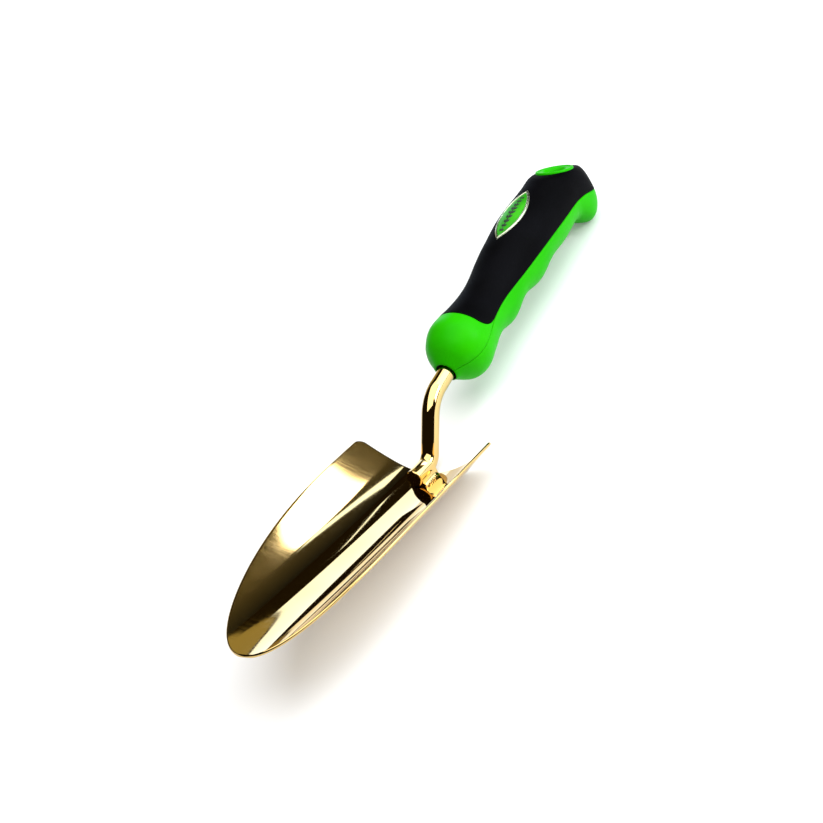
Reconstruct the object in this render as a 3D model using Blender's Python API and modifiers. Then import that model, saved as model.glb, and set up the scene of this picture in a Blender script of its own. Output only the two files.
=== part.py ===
"""A hand trowel: a bent round tang welded into a scooped steel blade, with a two-shell moulded handle,
a soft palm grip, an oval badge and a hang-up bore through the butt.

The trowel is drawn in its own tool frame: the blade's bottom line runs along Y, the tip is at -Y, the
hollow faces +Z, and the origin is the middle of the blade's rear edge. The handle has a second frame on
its own axis. Both hang from one empty that leans the tool onto its heel and its pommel hook, at rest.
"""

import math

import bmesh
import bpy
from mathutils import Matrix, Vector

MM = 0.001
GAP = 0.3 * MM

# Blade
BLADE_LENGTH = 140.5 * MM
BLADE_HALF_WIDTH = 38.2 * MM
REAR_HALF_WIDTH = 37.5 * MM
TAPER_START = 30 * MM
TAPER_POWER = 2.1
REAR_BOW = 4 * MM
REAR_CREST = 34 * MM
CORNER_RADIUS = 3.5 * MM
TROUGH_RADIUS = 53 * MM
TIP_RISE = 5.2 * MM
SHEET = 1.5 * MM

# Tang: a bent round bar
TANG_RADIUS = 4 * MM
FOOT_LENGTH = 12 * MM
KINK_Y = 1.3 * MM
KINK_BEND_RADIUS = 8 * MM
NECK_BEND_RADIUS = 20 * MM
NECK_CORNER = Vector((0, 17.1, 27.4)) * MM
TANG_IN_HANDLE = 96 * MM
WELD_RADIUS = 1.4 * MM

# Handle frame, on the tool frame: s runs along its local Y, and local Z points at the palm
HANDLE_ORIGIN = Vector((0, 34, 31.5)) * MM
HANDLE_TILT = math.radians(13.5)
HANDLE_SPAN = (-1.8 * MM, 133.5 * MM)
GRIP_SKIN = 2.5 * MM
GRIP_FRONT = 20.5 * MM
CORNER_LIFT = 9 * MM

# Profiles in mm: (distance along the handle, offset from its axis)
TOP_LINE = ((-1.8, 5.6), (0, 8), (3, 11.6), (7, 14.4), (13, 16.4), (20, 15.6), (27, 14), (34, 12.9),
            (42, 12.6), (50, 13), (58, 14), (66, 15.1), (86, 15.7), (104, 13.7), (112, 13.2),
            (120, 11.6), (127, 7), (131, 2.6), (133.5, -3))
BELLY_LINE = ((-1.8, 4.9), (0, 5.9), (3, 9.4), (7, 13.2), (13, 14.7), (20, 12.9), (30, 12.2), (45, 12.9),
              (60, 13.6), (90, 14.8), (109, 15.3))
SIDE_LINE = ((-1.8, 5.5), (0, 7.6), (3, 11.2), (7, 14.1), (13, 15.6), (20, 15), (28, 13.5), (38, 12.7),
             (50, 13.2), (65, 14.4), (80, 15), (95, 14.6), (112, 13.4), (121, 12.6), (126, 11.2),
             (130, 8), (132, 5.4), (133.5, 2.6))
HOOK_LINE = ((109, 15.3), (112, 16.8), (115, 20.6), (118, 23.7), (121, 24.3), (124, 23), (127, 20.4),
             (130, 16), (132, 12.4), (133.5, 8.4))
PARTING_LINE = ((-20, 1.5), (10, 1.5), (30, 3.4), (60, 2.2), (80, 0.8), (100, -1.8), (110, -3.4),
                (118, -6), (126, -10.5), (133, -15), (145, -24))
SQUARENESS = ((0, 2), (40, 2.1), (105, 2.15), (118, 2.5), (134, 2.6))
FINGER_PITCH = 27 * MM
FINGER_CREST = 43 * MM
FINGER_DEPTH = 1.6 * MM

# Hang-up bore and the slanted flat around it
FACET_POINT = (121 * MM, 6.8 * MM)
FACET_TILT = math.radians(30)
EYELET_BORE_RADIUS = 4.8 * MM
EYELET_TUBE_RADIUS = 6.2 * MM
EYELET_FLANGE_RADIUS = 9 * MM
EYELET_FLANGE = 2.2 * MM
EYELET_DEPTH = 13 * MM

# Badge on the palm side
BADGE_START = 67 * MM
BADGE_LENGTH = 33 * MM
BADGE_HALF_WIDTH = 6.4 * MM
BADGE_DEPTH = 1.5 * MM
BEZEL_WIDTH = 1.1 * MM

HOOK_TIP = (120.5 * MM, 24.3 * MM)

# How far the cutters reach past the handle
CUTTER_FRONT = -8 * MM
CUTTER_BACK = 142 * MM
CUTTER_TOP = 26 * MM
CUTTER_BOTTOM = -40 * MM
CUTTER_SIDE = 30 * MM
CORE_START = 5 * MM


def smooth_line(stations, at):
    """Catmull-Rom value at one distance along a list of (distance, value) stations."""
    last = len(stations) - 1
    index = 0
    while index < last - 1 and at > stations[index + 1][0]:
        index += 1
    x0, y0 = stations[index]
    x1, y1 = stations[index + 1]
    before = stations[max(index - 1, 0)]
    after = stations[min(index + 2, last)]
    slope0 = (y1 - before[1]) / (x1 - before[0])
    slope1 = (after[1] - y0) / (after[0] - x0)
    t = min(max((at - x0) / (x1 - x0), 0), 1)
    span = x1 - x0
    return (
        y0 * (2 * t**3 - 3 * t**2 + 1)
        + y1 * (3 * t**2 - 2 * t**3)
        + slope0 * span * (t**3 - 2 * t**2 + t)
        + slope1 * span * (t**3 - t**2)
    )


def line_mm(stations, s):
    return smooth_line(stations, s / MM) * MM


def belly(s):
    """How far the finger side stands below the axis, with its scallops and the pommel hook."""
    hook_start = HOOK_LINE[0][0] * MM
    if s > hook_start:
        return line_mm(HOOK_LINE, s)
    rise = min(max((s - 0.5 * FINGER_PITCH) / FINGER_PITCH, 0), 1)
    fade = min(max((hook_start - s) / (2 * FINGER_PITCH), 0), 1)
    wave = math.cos(2 * math.pi * (s - FINGER_CREST) / FINGER_PITCH)
    return line_mm(BELLY_LINE, s) + FINGER_DEPTH * rise * fade * wave


def squared(value, power):
    """Pushes a sine or cosine out towards a superellipse's."""
    return math.copysign(abs(value) ** (2 / power), value)


def section_point(s, angle, inset):
    """A point of the handle's skin, in the handle frame, moved in by inset."""
    power = line_mm(SQUARENESS, s) / MM
    top = line_mm(TOP_LINE, s)
    bottom = -belly(s)
    half_width = line_mm(SIDE_LINE, s) - inset
    half_height = (top - bottom) / 2 - inset
    across = half_width * squared(math.cos(angle), power)
    up = half_height * squared(math.sin(angle), power)
    return Vector((across, s, (top + bottom) / 2 + up))


def loft_stations(first, last):
    """Distances along the handle, closer together on the nose, the hook and the butt."""
    stations = [first]
    while stations[-1] < last:
        s = stations[-1]
        if s < 8 * MM or s > 124 * MM:
            step = 1.6 * MM
        elif 108 * MM < s < 124 * MM:
            step = 2 * MM
        else:
            step = 3.4 * MM
        stations.append(min(s + step, last))
    return stations


# ---------------------------------------------------------------- scene helpers


def clear_scene():
    for obj in list(bpy.data.objects):
        bpy.data.objects.remove(obj)


def new_collection(name):
    collection = bpy.data.collections.new(name)
    bpy.context.scene.collection.children.link(collection)
    return collection


def new_material(name, color, roughness, metallic=0.0):
    material = bpy.data.materials.new(name)
    material.use_nodes = True
    shader = material.node_tree.nodes["Principled BSDF"]
    shader.inputs["Base Color"].default_value = (*color, 1)
    shader.inputs["Roughness"].default_value = roughness
    shader.inputs["Metallic"].default_value = metallic
    material.diffuse_color = (*color, 1)
    return material


def new_empty(name, parent=None):
    empty = bpy.data.objects.new(name, None)
    parts.objects.link(empty)
    empty.parent = parent
    return empty


def new_object(name, mesh, collection, parent, material=None):
    obj = bpy.data.objects.new(name, mesh)
    collection.objects.link(obj)
    obj.parent = parent
    if material:
        mesh.materials.append(material)
    if collection is cutters:
        obj.hide_render = True
        obj.display_type = "WIRE"
    else:
        mesh.shade_smooth()
        mesh.set_sharp_from_angle(angle=math.radians(40))
    return obj


def mesh_from(name, bm):
    """Turns a bmesh into a mesh whose faces point out."""
    bmesh.ops.recalc_face_normals(bm, faces=bm.faces)
    mesh = bpy.data.meshes.new(name)
    bm.to_mesh(mesh)
    bm.free()
    return mesh


def loft(name, rings):
    """A closed solid through rings of equal point counts, with flat ends."""
    bm = bmesh.new()
    loops = [[bm.verts.new(point) for point in ring] for ring in rings]
    count = len(rings[0])
    for near, far in zip(loops, loops[1:]):
        for i in range(count):
            j = (i + 1) % count
            bm.faces.new((near[i], near[j], far[j], far[i]))
    bm.faces.new(loops[0])
    bm.faces.new(loops[-1])
    return mesh_from(name, bm)


def prism(name, outline, low, high, place):
    """A closed prism: outline points placed at two depths by place(point, depth)."""
    return loft(name, [[place(point, low) for point in outline], [place(point, high) for point in outline]])


def boolean(obj, operation, other):
    modifier = obj.modifiers.new(f"{operation.lower()}_{other.name}", "BOOLEAN")
    modifier.operation = operation
    modifier.object = other
    modifier.solver = "EXACT"


def curve_mesh(name, points, radius, sides, parent, collection, material=None):
    """A round bar through points, capped and made a mesh so that it can be cut or be a cutter."""
    curve = bpy.data.curves.new(f"{name}_path", "CURVE")
    curve.dimensions = "3D"
    curve.bevel_depth = radius
    curve.bevel_resolution = sides
    curve.use_fill_caps = True
    spline = curve.splines.new("POLY")
    spline.points.add(len(points) - 1)
    for point, place in zip(spline.points, points):
        point.co = (*place, 1)
    guide = bpy.data.objects.new(f"{name}_path", curve)
    collection.objects.link(guide)
    graph = bpy.context.evaluated_depsgraph_get()
    mesh = bpy.data.meshes.new_from_object(guide.evaluated_get(graph))
    bpy.data.objects.remove(guide)
    bm = bmesh.new()
    bm.from_mesh(mesh)
    bmesh.ops.remove_doubles(bm, verts=bm.verts, dist=0.01 * MM)
    bmesh.ops.recalc_face_normals(bm, faces=bm.faces)
    bm.to_mesh(mesh)
    bm.free()
    return new_object(name, mesh, collection, parent, material)


# ---------------------------------------------------------------- blade


def blade_half_width(back):
    """Half width at a distance back from the rear edge towards the tip."""
    if back < TAPER_START:
        flare = BLADE_HALF_WIDTH - REAR_HALF_WIDTH
        width = REAR_HALF_WIDTH + flare * math.sin(math.pi * back / TAPER_START / 2)
    else:
        along = min((back - TAPER_START) / (BLADE_LENGTH - TAPER_START), 1)
        width = BLADE_HALF_WIDTH * (1 - along**TAPER_POWER) ** (1 / TAPER_POWER)
    if back < CORNER_RADIUS:
        width -= CORNER_RADIUS - math.sqrt(CORNER_RADIUS**2 - (CORNER_RADIUS - back) ** 2)
    return width


def blade_surface(x, back):
    """A point of the hollow face: an arc across, rising towards the tip, with wings that reach back."""
    bow = REAR_BOW * math.sin(math.pi / 2 * x / REAR_CREST) ** 2 * (1 - back / BLADE_LENGTH)
    sag = TROUGH_RADIUS - math.sqrt(TROUGH_RADIUS**2 - x**2)
    rise = TIP_RISE * (back / BLADE_LENGTH) ** 2.2
    return Vector((x, bow - back, sag + rise))


def blade_rows():
    """Distances back from the rear edge: round the corners, along the sides, then round the tip."""
    rows = [CORNER_RADIUS * (1 - math.cos(math.pi * i / 8)) for i in range(5)]
    rows += [CORNER_RADIUS + (TAPER_START - CORNER_RADIUS) * i / 3 for i in range(1, 4)]
    taper = BLADE_LENGTH - TAPER_START
    rows += [TAPER_START + taper * math.sin(math.pi * i / 36) for i in range(1, 18)]
    return rows


def make_blade(material):
    bm = bmesh.new()
    across = 16
    grid = []
    for back in blade_rows():
        half = blade_half_width(back)
        row = []
        for i in range(across + 1):
            row.append(bm.verts.new(blade_surface(half * math.sin(math.pi * (i / across - 0.5)), back)))
        grid.append(row)
    tip = bm.verts.new(blade_surface(0, BLADE_LENGTH))
    for near, far in zip(grid, grid[1:]):
        for i in range(across):
            bm.faces.new((near[i], far[i], far[i + 1], near[i + 1]))
    for i in range(across):
        bm.faces.new((grid[-1][i], tip, grid[-1][i + 1]))
    mesh = mesh_from("blade", bm)
    blade = new_object("blade", mesh, parts, tool_frame, material)
    if mesh.polygons[0].normal.z < 0:
        mesh.flip_normals()
    thicken = blade.modifiers.new("sheet", "SOLIDIFY")
    thicken.thickness = SHEET
    thicken.offset = -1
    thicken.use_even_offset = True
    return blade


# ---------------------------------------------------------------- tang and welds


def rounded_path(corners, radii, arc_steps):
    """The corner points in the YZ plane with a round bend at each inner corner."""
    path = [corners[0]]
    for before, corner, after, radius in zip(corners, corners[1:], corners[2:], radii):
        come = (before - corner).normalized()
        leave = (after - corner).normalized()
        half_turn = (math.pi - come.angle(leave)) / 2
        tangent = radius * math.tan(half_turn)
        start = corner + come * tangent
        centre = corner + (come + leave).normalized() * radius / math.cos(half_turn)
        arm = start - centre
        axis = come.cross(leave).normalized()
        for i in range(arc_steps + 1):
            path.append(centre + Matrix.Rotation(-2 * half_turn * i / arc_steps, 3, axis) @ arm)
    path.append(corners[-1])
    return path


def tang_corners():
    height = TANG_RADIUS + GAP
    along = Vector((0, math.cos(HANDLE_TILT), math.sin(HANDLE_TILT)))
    foot_end = Vector((0, -FOOT_LENGTH, height))
    kink = Vector((0, KINK_Y, height))
    return [foot_end, kink, NECK_CORNER, HANDLE_ORIGIN + along * TANG_IN_HANDLE]


def make_tang(material):
    path = rounded_path(tang_corners(), (KINK_BEND_RADIUS, NECK_BEND_RADIUS), 8)
    return curve_mesh("tang", path, TANG_RADIUS, 5, tool_frame, parts, material)


def make_weld_bead(name, side, material):
    """A fillet bead in the corner between one side of the foot and the blade."""
    lift = WELD_RADIUS + 1.35 * GAP
    bar_height = TANG_RADIUS + GAP
    reach = TANG_RADIUS + WELD_RADIUS + GAP
    x = math.sqrt(reach**2 - (bar_height - lift - GAP) ** 2)
    height = lift + GAP
    path = [Vector((side * x, -FOOT_LENGTH + 1.5 * MM + 8.5 * MM * i / 4, height)) for i in range(5)]
    return curve_mesh(name, path, WELD_RADIUS, 2, tool_frame, parts, material)


# ---------------------------------------------------------------- handle


def handle_body(name, inset, first, last):
    """The whole handle as one closed loft, as a cutter."""
    sides = 32
    rings = []
    for s in loft_stations(first, last):
        rings.append([section_point(s, 2 * math.pi * (i + 0.5) / sides, inset) for i in range(sides)])
    return new_object(name, loft(name, rings), cutters, handle_frame)


def side_view(point, x):
    """Places an outline point (s, n) of the handle's side view at one x."""
    return Vector((x, point[0], point[1]))


def side_cutter(name, outline, half):
    """A side-view outline made as wide as the handle and more."""
    return new_object(name, prism(name, outline, -half, half, side_view), cutters, handle_frame)


def facet_height(s):
    return FACET_POINT[1] - (s - FACET_POINT[0]) * math.tan(FACET_TILT)


def parting_points(first, last, lift, count=28):
    return [(first + (last - first) * i / count,
             line_mm(PARTING_LINE, first + (last - first) * i / count) + lift) for i in range(count + 1)]


def facet_points(lift=0.0):
    """The slanted flat's line, from behind the butt up over the palm side."""
    return [(s, facet_height(s) + lift) for s in (CUTTER_BACK, 92 * MM)]


def upper_region(name):
    outline = parting_points(CUTTER_FRONT, CUTTER_BACK, GAP / 2)
    outline += facet_points() + [(CUTTER_FRONT, CUTTER_TOP)]
    return side_cutter(name, outline, CUTTER_SIDE)


def lower_region(name):
    outline = parting_points(CUTTER_FRONT, CUTTER_BACK, -GAP / 2)
    outline += [(CUTTER_BACK, CUTTER_BOTTOM), (CUTTER_FRONT, CUTTER_BOTTOM)]
    return side_cutter(name, outline, CUTTER_SIDE)


def grip_front_points(lead, lift):
    """The grip's front edge in side view: down the nose side, then round into the parting line."""
    front = GRIP_FRONT + lead
    corner_end = front + CORNER_LIFT
    low = line_mm(PARTING_LINE, corner_end) + lift
    points = [(front, CUTTER_TOP), (front, low + CORNER_LIFT)]
    for i in range(1, 7):
        turn = math.pi / 2 * i / 6
        points.append((corner_end - CORNER_LIFT * math.cos(turn), low + CORNER_LIFT * (1 - math.sin(turn))))
    return points


def grip_region(name, lead, lift, over):
    """The grip's part of the side view. Over is how far it runs past the facet and the sides."""
    outline = grip_front_points(lead, lift)
    corner_end = GRIP_FRONT + lead + CORNER_LIFT
    outline += parting_points(corner_end, CUTTER_BACK, lift)[1:]
    outline += facet_points(over)
    return side_cutter(name, outline, CUTTER_SIDE + over)


def facet_frame():
    """Places local Z along the slanted flat's normal, at its middle."""
    place = Matrix.Translation((0, FACET_POINT[0], FACET_POINT[1]))
    return place @ Matrix.Rotation(-FACET_TILT, 4, "X")


def cylinder_cutter(name, radius, low, high):
    bm = bmesh.new()
    bmesh.ops.create_cone(bm, cap_ends=True, segments=32, radius1=radius, radius2=radius, depth=high - low)
    cutter = new_object(name, mesh_from(name, bm), cutters, handle_frame)
    cutter.matrix_local = facet_frame() @ Matrix.Translation((0, 0, (low + high) / 2))
    return cutter


def tang_channel(name, radius, first, last):
    ends = [Vector((0, first, 0)), Vector((0, last, 0))]
    return curve_mesh(name, ends, radius, 5, handle_frame, cutters)


def make_lower_shell(material, tools):
    shell = handle_body("lower_shell", 0, *HANDLE_SPAN)
    show_part(shell, material)
    boolean(shell, "INTERSECT", lower_region("below_parting"))
    for tool in tools:
        boolean(shell, "DIFFERENCE", tool)
    return shell


def make_upper_shell(material, core, tools):
    shell = handle_body("upper_shell", 0, *HANDLE_SPAN)
    show_part(shell, material)
    boolean(shell, "INTERSECT", upper_region("above_parting"))
    room = grip_region("grip_room", -GAP, -GAP, 4 * MM)
    boolean(room, "DIFFERENCE", core)
    boolean(shell, "DIFFERENCE", room)
    for tool in tools:
        boolean(shell, "DIFFERENCE", tool)
    return shell


def make_palm_grip(material, tools):
    grip = handle_body("palm_grip", 0, *HANDLE_SPAN)
    show_part(grip, material)
    boolean(grip, "INTERSECT", grip_region("grip_outline", 0, GAP / 2, 0))
    core = handle_body("grip_inside", GRIP_SKIN, CORE_START, HANDLE_SPAN[1] - GRIP_SKIN)
    boolean(grip, "DIFFERENCE", core)
    for tool in tools:
        boolean(grip, "DIFFERENCE", tool)
    return grip


def show_part(obj, material):
    """Turns a body made as a cutter into a part."""
    cutters.objects.unlink(obj)
    parts.objects.link(obj)
    obj.hide_render = False
    obj.display_type = "TEXTURED"
    obj.data.materials.append(material)
    obj.data.shade_smooth()
    obj.data.set_sharp_from_angle(angle=math.radians(40))


def make_nose_seal(material):
    """A soft ring in the mouth of the handle, around the tang."""
    return turned("nose_seal", ((5.0, 2), (5.0, 0), (4.35, 0), (4.35, 2)), material,
                  Matrix.Translation((0, -0.8 * MM, 0)) @ Matrix.Rotation(-math.pi / 2, 4, "X"))


def turned(name, profile, material, place):
    """A ring turned about local Z from a closed (radius, height) outline in mm."""
    bm = bmesh.new()
    verts = [bm.verts.new((radius * MM, 0, height * MM)) for radius, height in profile]
    for i, vert in enumerate(verts):
        bm.edges.new((vert, verts[(i + 1) % len(verts)]))
    mesh = bpy.data.meshes.new(name)
    bm.to_mesh(mesh)
    bm.free()
    ring = new_object(name, mesh, parts, handle_frame, material)
    ring.matrix_local = place
    screw = ring.modifiers.new("turn", "SCREW")
    screw.steps = 32
    screw.render_steps = 32
    screw.use_merge_vertices = True
    screw.merge_threshold = 0.0001
    return ring


def make_hang_eyelet(material):
    """A flanged bush: its rim lies flush in the slanted flat and its tube lines the bore."""
    bore = EYELET_BORE_RADIUS / MM
    tube = EYELET_TUBE_RADIUS / MM
    rim = EYELET_FLANGE_RADIUS / MM
    low = -EYELET_FLANGE / MM
    profile = ((bore + 0.8, 0.9), (rim - 0.9, 0.9), (rim, 0), (rim, low), (tube, low),
               (tube, -EYELET_DEPTH / MM), (bore, -EYELET_DEPTH / MM), (bore, 0))
    return turned("hang_eyelet", profile, material, facet_frame())


# ---------------------------------------------------------------- badge


def badge_outline(margin):
    """A pointed oval, two arcs that meet at its ends, as (x, s) points."""
    half_length = BADGE_LENGTH / 2 + margin * 1.6
    half_width = BADGE_HALF_WIDTH + margin
    radius = (half_length**2 + half_width**2) / (2 * half_width)
    sweep = math.asin(half_length / radius)
    middle = BADGE_START + BADGE_LENGTH / 2
    points = []
    for side in (1, -1):
        for i in range(12):
            turn = sweep * (i / 6 - 1)
            across = radius * math.cos(turn) - (radius - half_width)
            points.append((side * across, middle + side * radius * math.sin(turn)))
    return points


def palm_view(point, height):
    return Vector((point[0], point[1], height))


def badge_prism(name, margin):
    outline = badge_outline(margin)
    return new_object(name, prism(name, outline, 2 * MM, CUTTER_TOP, palm_view), cutters, handle_frame)


def badge_layer(name, outer, inner, margin, material):
    """A piece of the handle's skin inside the badge outline, between two insets."""
    span = (BADGE_START - 6 * MM, BADGE_START + BADGE_LENGTH + 6 * MM)
    layer = handle_body(name, outer, *span)
    show_part(layer, material)
    boolean(layer, "INTERSECT", badge_prism(f"{name}_outline", margin))
    boolean(layer, "DIFFERENCE", handle_body(f"{name}_under", inner, span[0] - MM, span[1] + MM))
    return layer


def badge_pocket():
    """The recess in the grip that takes the badge."""
    pocket = badge_prism("badge_pocket", GAP)
    floor = handle_body("badge_pocket_floor", BADGE_DEPTH, BADGE_START - 9 * MM,
                        BADGE_START + BADGE_LENGTH + 9 * MM)
    boolean(pocket, "DIFFERENCE", floor)
    return pocket


def make_badge(plate_material, bezel_material):
    floor = BADGE_DEPTH - GAP
    badge_layer("badge_plate", 0.2 * MM, floor, -BEZEL_WIDTH - GAP, plate_material)
    bezel = badge_layer("badge_bezel", -0.4 * MM, floor, 0, bezel_material)
    boolean(bezel, "DIFFERENCE", badge_prism("bezel_window", -BEZEL_WIDTH))


# ---------------------------------------------------------------- assembly


def rest_pose():
    """Leans the tool back until the blade's heel and the hook's tip are level, standing on Z = 0."""
    hook = HANDLE_ORIGIN + Matrix.Rotation(HANDLE_TILT, 3, "X") @ Vector((0, HOOK_TIP[0], -HOOK_TIP[1]))
    heel = Vector((0, 0, -SHEET))
    lean = math.atan2(hook.z - heel.z, hook.y - heel.y)
    turn = Matrix.Rotation(-lean, 4, "X")
    return Matrix.Translation((0, 0, -(turn @ heel).z)) @ turn


def centre_over_origin():
    """Moves the tool along Y until its box is centred on the origin, and down onto Z = 0."""
    bpy.context.view_layer.update()
    graph = bpy.context.evaluated_depsgraph_get()
    corners = []
    for obj in parts.objects:
        if obj.type != "MESH":
            continue
        evaluated = obj.evaluated_get(graph)
        corners += [evaluated.matrix_world @ vert.co for vert in evaluated.data.vertices]
    middle = (min(c.y for c in corners) + max(c.y for c in corners)) / 2
    low = min(c.z for c in corners)
    tool_frame.matrix_world = Matrix.Translation((0, -middle, -low)) @ tool_frame.matrix_world


clear_scene()
parts = new_collection("hand_trowel")
cutters = new_collection("cutters")
tool_frame = new_empty("tool_frame")
tool_frame.matrix_world = rest_pose()
handle_frame = new_empty("handle_frame", tool_frame)
handle_frame.matrix_local = Matrix.Translation(HANDLE_ORIGIN) @ Matrix.Rotation(HANDLE_TILT, 4, "X")

gold_steel = new_material("gold_steel", (0.72, 0.5, 0.22), 0.12, 1.0)
green_plastic = new_material("green_plastic", (0.05, 0.72, 0.01), 0.3)
black_grip = new_material("black_grip", (0.012, 0.012, 0.014), 0.6)
silver_trim = new_material("silver_trim", (0.8, 0.79, 0.74), 0.2, 1.0)

make_blade(gold_steel)
make_tang(gold_steel)
make_weld_bead("weld_bead_left", -1, gold_steel)
make_weld_bead("weld_bead_right", 1, gold_steel)

channel = tang_channel("tang_channel", TANG_RADIUS + GAP, -6 * MM, TANG_IN_HANDLE + 1 * MM)
mouth = tang_channel("nose_counterbore", 5.3 * MM, -6 * MM, 1.5 * MM)
bore = cylinder_cutter("hang_bore", EYELET_BORE_RADIUS, -60 * MM, 20 * MM)
tube_room = cylinder_cutter("eyelet_tube_room", EYELET_TUBE_RADIUS + GAP, -EYELET_DEPTH - GAP, 20 * MM)
flange_room = cylinder_cutter("eyelet_flange_room", EYELET_FLANGE_RADIUS + GAP, -EYELET_FLANGE - GAP, 20 * MM)
grip_core = handle_body("grip_core", GRIP_SKIN + GAP, CORE_START, HANDLE_SPAN[1] - GRIP_SKIN - GAP)

make_lower_shell(green_plastic, (channel, mouth, bore, tube_room))
make_upper_shell(green_plastic, grip_core, (channel, mouth, bore, tube_room, flange_room))
make_palm_grip(black_grip, (tube_room, flange_room, badge_pocket()))
make_nose_seal(black_grip)
make_hang_eyelet(green_plastic)
make_badge(green_plastic, silver_trim)
centre_over_origin()
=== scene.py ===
"""The looks of a hand trowel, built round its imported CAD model: a mirror-polished scooped blade and bent
tang, a lime handle moulded in two shells, a black palm grip, an oval badge and a hang-up eyelet.

Shapes are worked out in two frames, as in the CAD. In the tool frame the blade's bottom line runs along Y,
the tip is at -Y and the hollow faces +Z. In the handle frame s runs along local Y, and Z points at the palm.
"""

import math

import bmesh
import bpy
from mathutils import Matrix, Vector


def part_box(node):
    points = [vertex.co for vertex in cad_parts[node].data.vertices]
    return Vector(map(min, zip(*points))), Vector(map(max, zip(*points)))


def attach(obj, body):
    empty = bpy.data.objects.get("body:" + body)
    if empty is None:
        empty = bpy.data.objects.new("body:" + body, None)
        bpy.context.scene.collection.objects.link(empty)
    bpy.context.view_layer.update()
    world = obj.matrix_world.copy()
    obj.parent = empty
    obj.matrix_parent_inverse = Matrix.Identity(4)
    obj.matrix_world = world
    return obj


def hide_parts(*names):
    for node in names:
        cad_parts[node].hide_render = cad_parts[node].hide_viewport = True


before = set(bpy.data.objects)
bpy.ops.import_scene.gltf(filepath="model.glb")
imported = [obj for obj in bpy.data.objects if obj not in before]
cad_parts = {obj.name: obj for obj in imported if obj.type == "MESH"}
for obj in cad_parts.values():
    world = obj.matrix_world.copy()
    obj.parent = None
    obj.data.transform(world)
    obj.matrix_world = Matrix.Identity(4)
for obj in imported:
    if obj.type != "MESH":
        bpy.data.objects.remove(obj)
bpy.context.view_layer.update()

MM = 0.001

# Blade
BLADE_LENGTH = 140.5 * MM
BLADE_HALF_WIDTH = 38.2 * MM
REAR_HALF_WIDTH = 37.5 * MM
TAPER_START = 30 * MM
TAPER_POWER = 2.1
REAR_BOW = 4 * MM
REAR_CREST = 34 * MM
CORNER_RADIUS = 3.5 * MM
TROUGH_RADIUS = 53 * MM
TIP_RISE = 5.2 * MM
TIP_RISE_POWER = 2.2
SHEET = 1.5 * MM

# Tang
TANG_RADIUS = 4 * MM
TANG_CLEARANCE = 0.3 * MM
FOOT_LENGTH = 12 * MM
KINK_Y = 1.3 * MM
KINK_BEND_RADIUS = 8 * MM
NECK_BEND_RADIUS = 20 * MM
NECK_CORNER = Vector((0, 17.1, 27.4)) * MM
TANG_IN_HANDLE = 96 * MM
TANG_LIP = 0.9 * MM

# Welds, from the front of the foot to just short of the blade's rear edge
WELD_FRONT = -FOOT_LENGTH + 0.9 * MM
WELD_REAR = -0.3 * MM
WELD_REACH = 1.9 * MM
WELD_ROOT = Vector((1.6, 0, 0.1)) * MM
WELD_TOP_TURN = math.radians(-12)
WELD_SINK = 0.1 * MM
WELD_HOLLOW = 0.5 * MM
WELD_TOE = 0.25 * MM
WELD_RIPPLES = 9
RIPPLE_DEPTH = 0.02

# Handle
HANDLE_ORIGIN = Vector((0, 34, 31.5)) * MM
HANDLE_TILT = math.radians(13.5)
HANDLE_START = -1.8 * MM
HANDLE_END = 133.5 * MM
NOSE_END = 20 * MM
BUTT_START = 104 * MM
GRIP_SKIN = 2.5 * MM
GRIP_FRONT = 20.5 * MM
GRIP_BUTT_START = 118 * MM
GRIP_BUTT_RADIUS = 1.6 * MM
GRIP_LINING_END = 129.5 * MM
GRIP_MEAN_RADIUS = 14 * MM
CORNER_LIFT = 9 * MM
SEAM = 0.12 * MM
SEAM_FADE = 6 * MM
EDGE_RADIUS = 0.45 * MM
NOSE_LIP = 0.35 * MM
MOUTH_RADIUS = 5.05 * MM
MOUTH_DEPTH = 1.5 * MM
# Middle, along the handle, of the black ring of painted shade in the handle's mouth
SHADE_RING_MIDDLE = 0.2 * MM
TANG_END_GAP = 1.3 * MM
UPPER_BORE_END = 60 * MM
FIT = 0.05 * MM  # clearance between a bore and what fills it
OUTSIDE = 20 * MM  # how far a cutter starts outside the handle

# Profiles in mm: (distance along the handle, offset from its axis)
TOP_LINE = ((-1.8, 5.6), (0, 8), (3, 11.6), (7, 14.4), (13, 16.4), (20, 15.6), (27, 14), (34, 12.9),
            (42, 12.6), (50, 13), (58, 14), (66, 15.1), (86, 15.7), (104, 13.7), (112, 13.2),
            (120, 11.6), (127, 7), (131, 2.6), (133.5, -3))
BELLY_LINE = ((-1.8, 4.9), (0, 5.9), (3, 9.4), (7, 13.2), (13, 14.7), (20, 12.9), (30, 12.2), (45, 12.9),
              (60, 13.6), (90, 14.8), (109, 15.3))
SIDE_LINE = ((-1.8, 5.5), (0, 7.6), (3, 11.2), (7, 14.1), (13, 15.6), (20, 15), (28, 13.5), (38, 12.7),
             (50, 13.2), (65, 14.4), (80, 15), (95, 14.6), (112, 13.4), (121, 12.6), (126, 11.2),
             (130, 8), (132, 5.4), (133.5, 2.6))
HOOK_LINE = ((109, 15.3), (112, 16.8), (115, 20.6), (118, 23.7), (121, 24.3), (124, 23), (127, 20.4),
             (130, 16), (132, 12.4), (133.5, 8.4))
PARTING_LINE = ((-20, 1.5), (10, 1.5), (30, 3.4), (60, 2.2), (80, 0.8), (100, -1.8), (110, -3.4),
                (118, -6), (126, -10.5), (133, -15), (145, -24))
SQUARENESS = ((0, 2), (40, 2.1), (105, 2.15), (118, 2.5), (134, 2.6))
FINGER_PITCH = 27 * MM
FINGER_CREST = 43 * MM
FINGER_DEPTH = 1.6 * MM
HOOK_TIP = (120.5 * MM, 24.3 * MM)

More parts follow.
